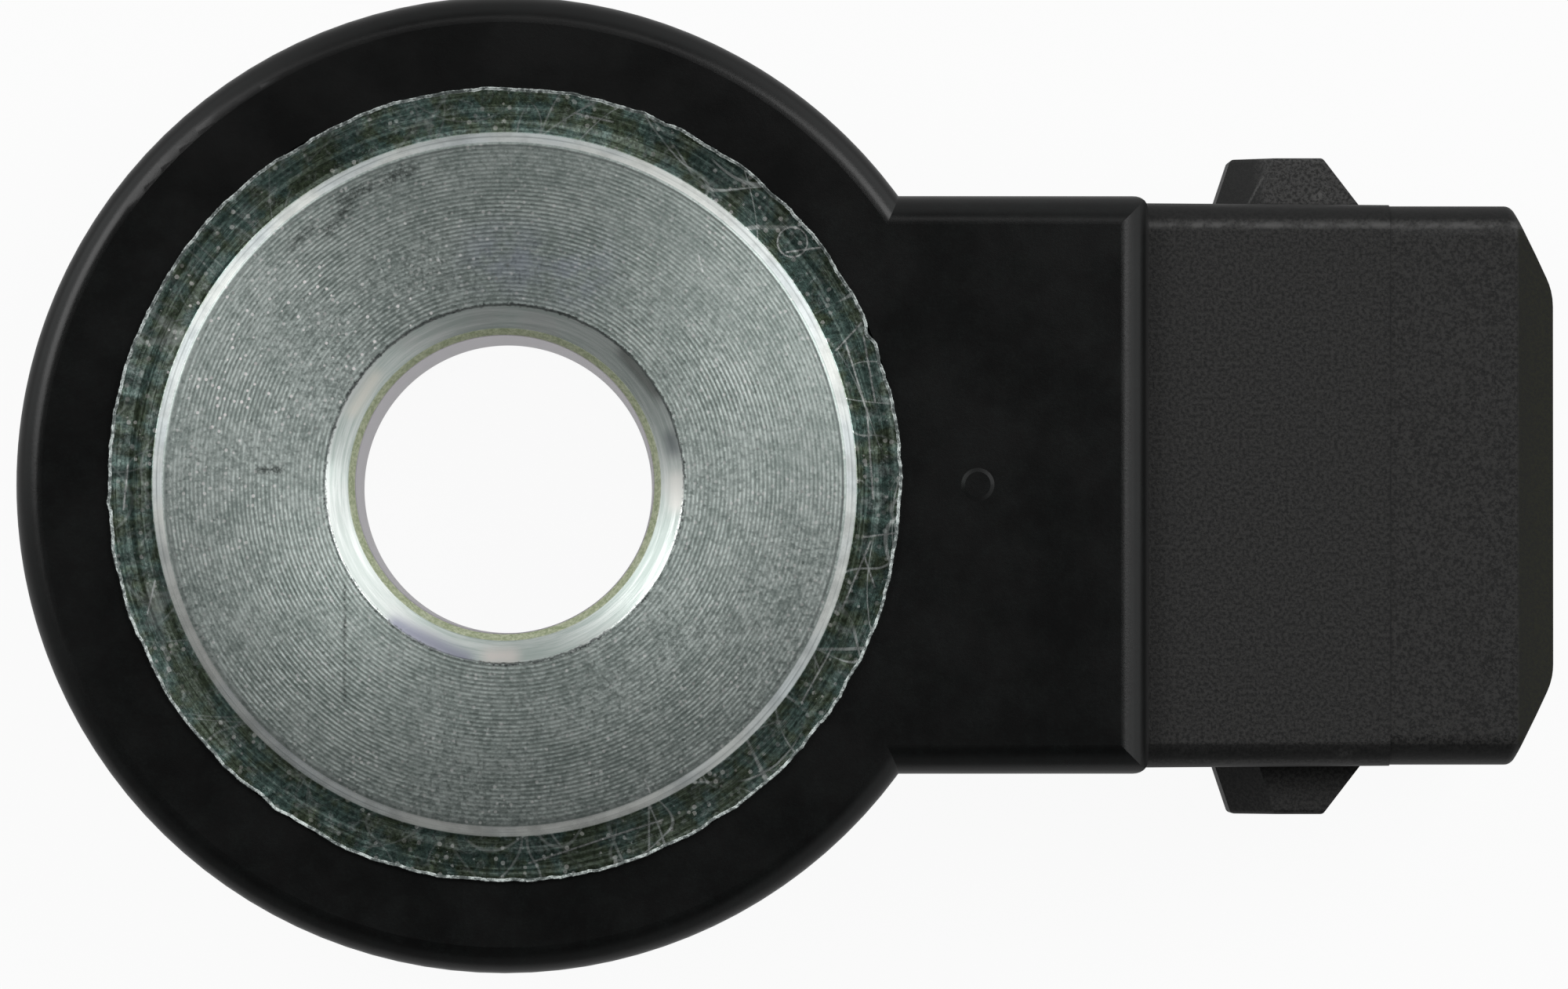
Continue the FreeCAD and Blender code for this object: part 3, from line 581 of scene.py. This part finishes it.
# %% [markdown]
# Zinc grows in tiny crystals, and some of them flash, most of all on the left of the face. The
# flashes are painted in as pale dots, which are painted glints. A cell pattern gives each cell one
# dot, and random numbers of the cell choose which dots are pale glints, dark specks or left out.
# Hair scratches are the lines where a slow noise passes its middle value.

# %% Painted glints, specks and hair scratches
specks_in_mm = 5.0
sparkle_middle = (-5.1, 3.0)

cells = tree.nodes.new("ShaderNodeTexVoronoi")
plug_in(tree, point, cells.inputs["Vector"])
cells.inputs["Scale"].default_value = specks_in_mm
picks = tree.nodes.new("ShaderNodeSeparateColor")
tree.links.new(cells.outputs["Color"], picks.inputs[0])
dot_size = fade(tree, picks.outputs[2], 0.0, 1.0, 0.10, 0.34)
dot = calc(tree, "LESS_THAN", cells.outputs["Distance"], dot_size)
glint_clusters = fade(tree, mottle(tree, point, 0.6, 2.0, 0.5), 0.38, 0.58, 0.5, 1.0)
leftward = fade(tree, distance_to(tree, x, y, *sparkle_middle), 1.5, 6.5, 1.0, 0.4)
off_bevels = calc(tree, "SUBTRACT", 1.0, smoother)
# Pale dots are painted glints of flashing crystals.
glint_share = both(tree, fade(tree, picks.outputs[0], 0.35, 0.60), dot, glint_clusters, leftward,
                    off_bevels)
colour = tint(tree, calc(tree, "MULTIPLY", glint_share, 0.9), colour, (1.0, 0.95, 0.94, 1))
dark_share = both(tree, fade(tree, picks.outputs[1], 0.86, 0.98, 0.0, 0.4), dot, off_bevels)
colour = tint(tree, dark_share, colour, (0.12, 0.14, 0.13, 1))

hair_width = 0.03
hairs = 0.0
for scale, seed in ((0.12, 3.1), (0.2, 11.3), (0.16, 23.9), (0.5, 37.7), (0.14, 51.1), (0.3, 64.3)):
    hairs = calc(tree, "MAXIMUM", hairs, hairline(tree, point, scale, seed, hair_width))
rubbed = fade(tree, mottle(tree, point, 0.5, 2.0, 0.5), 0.38, 0.54)
rightward = fade(tree, x, -4.0, 6.0, 0.35, 1.0)
hairs = both(tree, hairs, rubbed, rightward, fade(tree, on_shelf, 0.0, 1.0, 0.12, 0.8))
colour = tint(tree, hairs, colour, (0.86, 0.92, 0.89, 1))

# %% [markdown]
# The larger scratches and stains are told one by one, because a used part is recognised by them.
# Most scratches lie on the shelf beside the plug, one of them a small ring. A dark, uneven line
# runs round the corner between the face and the cone, with a fainter one just inside the face's
# outer edge, and dark dirt lies in a long upright line and in a patch at the upper left.

# %% Single scratches
# Each scratch: its middle, length and tilt.
scratches = [
    (8.43, 6.62, 1.0, 8), (9.71, 4.17, 1.1, 47), (9.89, 3.13, 2.0, 107),
    (10.29, 3.26, 1.9, 100), (10.31, 0.87, 2.6, 94), (10.57, -1.43, 0.9, 7),
    (9.93, -2.55, 2.1, 67), (10.29, -2.44, 1.0, 109), (8.81, -5.38, 1.8, 61),
    (2.57, -10.07, 4.0, 18), (2.51, 10.35, 1.15, -13), (-10.68, -0.08, 1.3, 84),
    (-9.96, -3.19, 1.0, 77), (5.52, 6.24, 0.55, 105), (-1.85, 6.32, 0.2, 120),
    (4.03, -8.5, 0.45, 112),
]
scratch_width = 0.045
scored = band(tree, distance_to(tree, x, y, 8.12, 6.84), 0.42, 0.02, 0.04)
for across, up, length, tilt in scratches:
    scratch = mark(tree, x, y, (across, up), length, scratch_width, tilt, scratch_width)
    scored = calc(tree, "MAXIMUM", scored, scratch)
scored = both(tree, scored, fade(tree, pits, 0.35, 0.55, 0.35, 1.0))
colour = tint(tree, scored, colour, (0.92, 0.95, 0.93, 1))

# %% Dark lines and stains
nibbled = calc(tree, "MULTIPLY_ADD", calc(tree, "SUBTRACT", pits, 0.5), 0.25, radius)
dark_line = calc(tree, "MAXIMUM", band(tree, nibbled, entry_radius + 0.02, 0.03, 0.05),
                 calc(tree, "MULTIPLY", band(tree, radius, face_radius - 0.06, 0.03, 0.08), 0.5))
dark_line = both(tree, dark_line, fade(tree, wander, 0.3, 0.6, 0.35, 0.9))
colour = tint(tree, dark_line, colour, (0.10, 0.11, 0.11, 1))
stained = mark(tree, x, y, (-6.6, 0.39), 0.8, 0.22, 0, 0.14)
# Each further stain: its middle, length, width, tilt, blur and strength.
stains = [
    ((-4.5, -4.5), 3.4, 0.05, 90, 0.12, 0.8),
    ((-3.6, 8.45), 2.4, 0.3, 24, 0.4, 1.0),
    ((-4.7, 7.5), 1.3, 0.3, 50, 0.4, 1.0),
    ((-5.7, 7.0), 1.0, 0.25, 40, 0.4, 0.8),
]
for spot, length, width, tilt, blur, strength in stains:
    stain = calc(tree, "MULTIPLY", mark(tree, x, y, spot, length, width, tilt, blur), strength)
    stained = calc(tree, "MAXIMUM", stained, stain)
stained = both(tree, stained, fade(tree, pits, 0.38, 0.62, 0.9, 0.25))
colour = tint(tree, stained, colour, (0.13, 0.15, 0.14, 1))
plug_in(tree, colour, shader.inputs["Base Color"])

# %% [markdown]
# Last come the gloss and the metal itself. The first cone is the glossiest, the turned face is
# duller and the oily second cone the dullest. Oil film and flashing crystals scatter light as well
# as mirroring it, so they count as less than full metal. The tangent that runs round the axis tells
# the shader which way the tool went.

# %% Gloss of the steel
face_gloss = fade(tree, pits, 0.3, 0.7, 0.32, 0.46)
shelf_gloss = fade(tree, streaks, 0.3, 0.7, 0.20, 0.34)
gloss = lay(tree, "ShaderNodeMix", {0: on_shelf, 2: face_gloss, 3: shelf_gloss})
gloss = lay(tree, "ShaderNodeMix", {0: on_rim, 2: gloss, 3: 0.2})
cone_gloss = fade(tree, streaks, 0.3, 0.7, 0.12, 0.26)
gloss = lay(tree, "ShaderNodeMix", {0: on_cone, 2: gloss, 3: cone_gloss})
gloss = lay(tree, "ShaderNodeMix", {0: on_throat, 2: gloss, 3: 0.5})
gloss = lay(tree, "ShaderNodeMix", {0: in_bore, 2: gloss, 3: 0.24})
plug_in(tree, gloss, shader.inputs["Roughness"])
filmed = calc(tree, "SUBTRACT", on_throat, in_bore)
metallic = fade(tree, filmed, 0.0, 1.0, 1.0, 0.25)
metallic = both(tree, metallic, fade(tree, glint_share, 0.0, 1.0, 1.0, 0.3))
plug_in(tree, metallic, shader.inputs["Metallic"])
plug_in(tree, lay(tree, "ShaderNodeTangent", direction_type="RADIAL", axis="Z"),
        shader.inputs["Tangent"])
shader.inputs["Anisotropic"].default_value = 0.55
shader.inputs["Anisotropic Rotation"].default_value = 0.25
sleeve.data.materials.append(steel)

# %% [markdown]
# The thin torn lip on the flange's rim is rougher than any cut surface. It shows as a broken pale
# line against the black moulding, so it has a finish of its own with coarse crumbs.

# %% Torn lip of the rim
burr, tree, shader = new_finish("torn_steel_lip")
point, _ = place_in_mm(tree)
crumbs = mottle(tree, point, 3.2, 4.0, 0.8)
lip_steel = tint(tree, fade(tree, crumbs, 0.42, 0.62), (0.14, 0.16, 0.155, 1),
                 (0.78, 0.84, 0.82, 1))
plug_in(tree, lip_steel, shader.inputs["Base Color"])
plug_in(tree, fade(tree, crumbs, 0.3, 0.7, 0.45, 0.60), shader.inputs["Roughness"])
plug_in(tree, relief(tree, crumbs, 0.02), shader.inputs["Normal"])
shader.inputs["Metallic"].default_value = 0.7
sleeve.data.materials.append(burr)


# %% [markdown]
# ## The pieces inside and the terminals
#
# Inside the moulding a stack of rings sits on the tube: film washers, contact rings, the ceramic,
# the weight, its spring and a nut. In the mouth of the plug the two terminals show. They are
# stamped from sheet and tinned, so they are pale and slightly dull, with marks along the stroke of
# the press.

# %% Finishes for rings and terminals
def plain_finish(name, dark, light, gloss, metallic, blobs, depth):
    """A finish with cloudy colour, uneven gloss and a fine skin."""
    finish, tree, shader = new_finish(name)
    point, _ = place_in_mm(tree)
    clouds = mottle(tree, point, blobs, 3.0, 0.6)
    skin = mottle(tree, point, blobs * 12, 2.0, 0.6)
    plug_in(tree, tint(tree, clouds, dark, light), shader.inputs["Base Color"])
    plug_in(tree, fade(tree, skin, 0.3, 0.7, gloss - 0.06, gloss + 0.06),
            shader.inputs["Roughness"])
    plug_in(tree, relief(tree, skin, depth), shader.inputs["Normal"])
    shader.inputs["Metallic"].default_value = metallic
    return finish


film = plain_finish("amber_film", (0.42, 0.20, 0.03, 1), (0.55, 0.30, 0.06, 1),
                    0.25, 0.0, 0.6, 0.002)
ceramic = plain_finish("fired_ceramic", (0.20, 0.18, 0.13, 1), (0.28, 0.25, 0.18, 1),
                       0.55, 0.0, 0.8, 0.004)
tinned = plain_finish("tinned_brass", (0.52, 0.51, 0.47, 1), (0.64, 0.63, 0.59, 1),
                      0.32, 1.0, 0.9, 0.003)
machined = plain_finish("machined_steel", (0.38, 0.38, 0.38, 1), (0.50, 0.50, 0.49, 1),
                        0.30, 1.0, 0.7, 0.004)
spring_blue = plain_finish("spring_steel", (0.10, 0.11, 0.14, 1), (0.17, 0.18, 0.21, 1),
                           0.35, 1.0, 0.7, 0.003)

# %% Which piece wears which finish

worn_by = {
    "insulating_liner": film,
    "near_insulating_washer": film,
    "far_insulating_washer": film,
    "piezo_ring": ceramic,
    "return_contact_ring": tinned,
    "signal_contact_ring": tinned,
    "return_terminal": tinned,
    "signal_terminal": tinned,
    "seismic_mass": machined,
    "ring_nut": machined,
    "disc_spring": spring_blue,
}
for name, finish in worn_by.items():
    nodes[name].data.materials.clear()
    nodes[name].data.materials.append(finish)
print("finished inside:", len(worn_by))


# %% [markdown]
# ## Floor and backdrop
#
# The sensor rests on a white sheet. The camera sees the sheet as paper white, in the hole as well,
# but lamps still throw the sensor's soft shadow on it. To get both, the sheet is a pale matte
# surface for every bounce of light, almost plain white for the camera, and a steady light grey for
# what a mirror sees of it.

# %% White sheet
sheet_half = 1.5
sheet_gap = 0.01
camera_white, mirror_share, mirror_white = 0.94, 0.7, 0.5
sheet_mesh = bmesh.new()
corners = [(-1, -1), (1, -1), (1, 1), (-1, 1)]
sheet_corners = [sheet_mesh.verts.new((a * sheet_half, b * sheet_half, 0)) for a, b in corners]
sheet_mesh.faces.new(sheet_corners)
sheet_data = bpy.data.meshes.new("white_sheet")
sheet_mesh.to_mesh(sheet_data)
sheet_mesh.free()
sheet = bpy.data.objects.new("white_sheet", sheet_data)
sheet.location.z = (seat_level - sheet_gap) * MM
bpy.context.scene.collection.objects.link(sheet)

paper, tree, shader = new_finish("white_paper")
point = lay(tree, "ShaderNodeTexCoord", output="Object")
fibre = mottle(tree, point, 900.0, 3.0, 0.6)
matte = lay(tree, "ShaderNodeBsdfDiffuse", {"Color": tint(tree, fibre, grey(0.78), grey(0.82))})
path = tree.nodes.new("ShaderNodeLightPath")
mirrored = calc(tree, "MAXIMUM", path.outputs["Is Glossy Ray"],
                path.outputs["Is Transmission Ray"])
bright = lay(tree, "ShaderNodeEmission", {
    "Strength": fade(tree, mirrored, 0.0, 1.0, 1.0, mirror_white)})
share = calc(tree, "MAXIMUM", calc(tree, "MULTIPLY", path.outputs["Is Camera Ray"], camera_white),
             calc(tree, "MULTIPLY", mirrored, mirror_share))
paper_mix = tree.nodes.new("ShaderNodeMixShader")
plug_in(tree, share, paper_mix.inputs[0])
plug_in(tree, matte, paper_mix.inputs[1])
plug_in(tree, bright, paper_mix.inputs[2])
tree.links.new(paper_mix.outputs[0], tree.nodes["Material Output"].inputs["Surface"])
sheet_data.materials.append(paper)


# %% [markdown]
# ## Lamps
#
# Polished steel shows its room, so the lamps are chosen by what the steel mirrors. The bright
# crescents on the bevels say where they stand: a large soft one up to the left, one up to the
# right, a slim weak one straight to the right, a weak one above and nothing below. The room round
# the camera is dark, and the flat faces mirror just that. Its walls are pale towards the two large
# lamps, and fade out upwards.

# %% Soft lamps and a dim room
aim = Vector((0.006, 0.0, 0.0))


def soft_lamp(name, azimuth, off_axis, distance, width, height, radiance):
    """A rectangular lamp that faces the sensor, its azimuth counted from the plug's side."""
    lamp = bpy.data.lights.new(name, "AREA")
    lamp.shape = "RECTANGLE"
    lamp.size = width
    lamp.size_y = height
    lamp.energy = radiance * math.pi * width * height
    piece = bpy.data.objects.new(name, lamp)
    turn, lean = math.radians(azimuth), math.radians(off_axis)
    way = Vector((math.sin(lean) * math.cos(turn), math.sin(lean) * math.sin(turn),
                  math.cos(lean)))
    piece.location = aim + way * distance
    piece.rotation_euler = (-way).to_track_quat("-Z", "Y").to_euler()
    bpy.context.scene.collection.objects.link(piece)
    return piece


soft_lamp("key_lamp", 152, 40, 0.60, 0.30, 0.26, 3.2)
soft_lamp("second_lamp", 30, 33, 0.60, 0.26, 0.26, 4.0)
soft_lamp("side_lamp", 0, 46, 0.60, 0.12, 0.30, 0.7)
soft_lamp("top_lamp", 90, 24, 0.70, 0.30, 0.12, 0.8)

# %% The room's walls
room = bpy.data.worlds.new("studio_room")
room.use_nodes = True
tree = room.node_tree
way = lay(tree, "ShaderNodeTexCoord", output="Generated")
way_parts = tree.nodes.new("ShaderNodeSeparateXYZ")
tree.links.new(way, way_parts.inputs[0])
level_way = lay(tree, "ShaderNodeVectorMath", {0: lay(tree, "ShaderNodeCombineXYZ", {
    0: way_parts.outputs[0], 1: way_parts.outputs[1]})}, operation="NORMALIZE")


def bright_wall(azimuth, strength):
    """A pale wall of the room towards that azimuth, fading to both sides."""
    turn = math.radians(azimuth)
    facing = tree.nodes.new("ShaderNodeVectorMath")
    facing.operation = "DOT_PRODUCT"
    plug_in(tree, level_way, facing.inputs[0])
    facing.inputs[1].default_value = (math.cos(turn), math.sin(turn), 0)
    share = calc(tree, "MAXIMUM", facing.outputs["Value"], 0.0)
    return calc(tree, "MULTIPLY", calc(tree, "POWER", share, 6.0), strength)


walls = calc(tree, "ADD", bright_wall(150, 1.0), bright_wall(27, 1.0))
walls = calc(tree, "ADD", walls, calc(tree, "ADD", bright_wall(330, 0.30), bright_wall(78, 0.32)))
walls = calc(tree, "ADD", walls, 0.16)
low_down = fade(tree, way_parts.outputs[2], 0.45, 0.92, 1.0, 0.0)
glow = calc(tree, "MULTIPLY_ADD", calc(tree, "MULTIPLY", walls, low_down), 0.95, 0.06)
backing = tree.nodes["Background"]
plug_in(tree, glow, backing.inputs["Strength"])
backing.inputs["Color"].default_value = (0.98, 1.0, 1.0, 1)
bpy.context.scene.world = room
bpy.context.scene.view_settings.view_transform = "Standard"
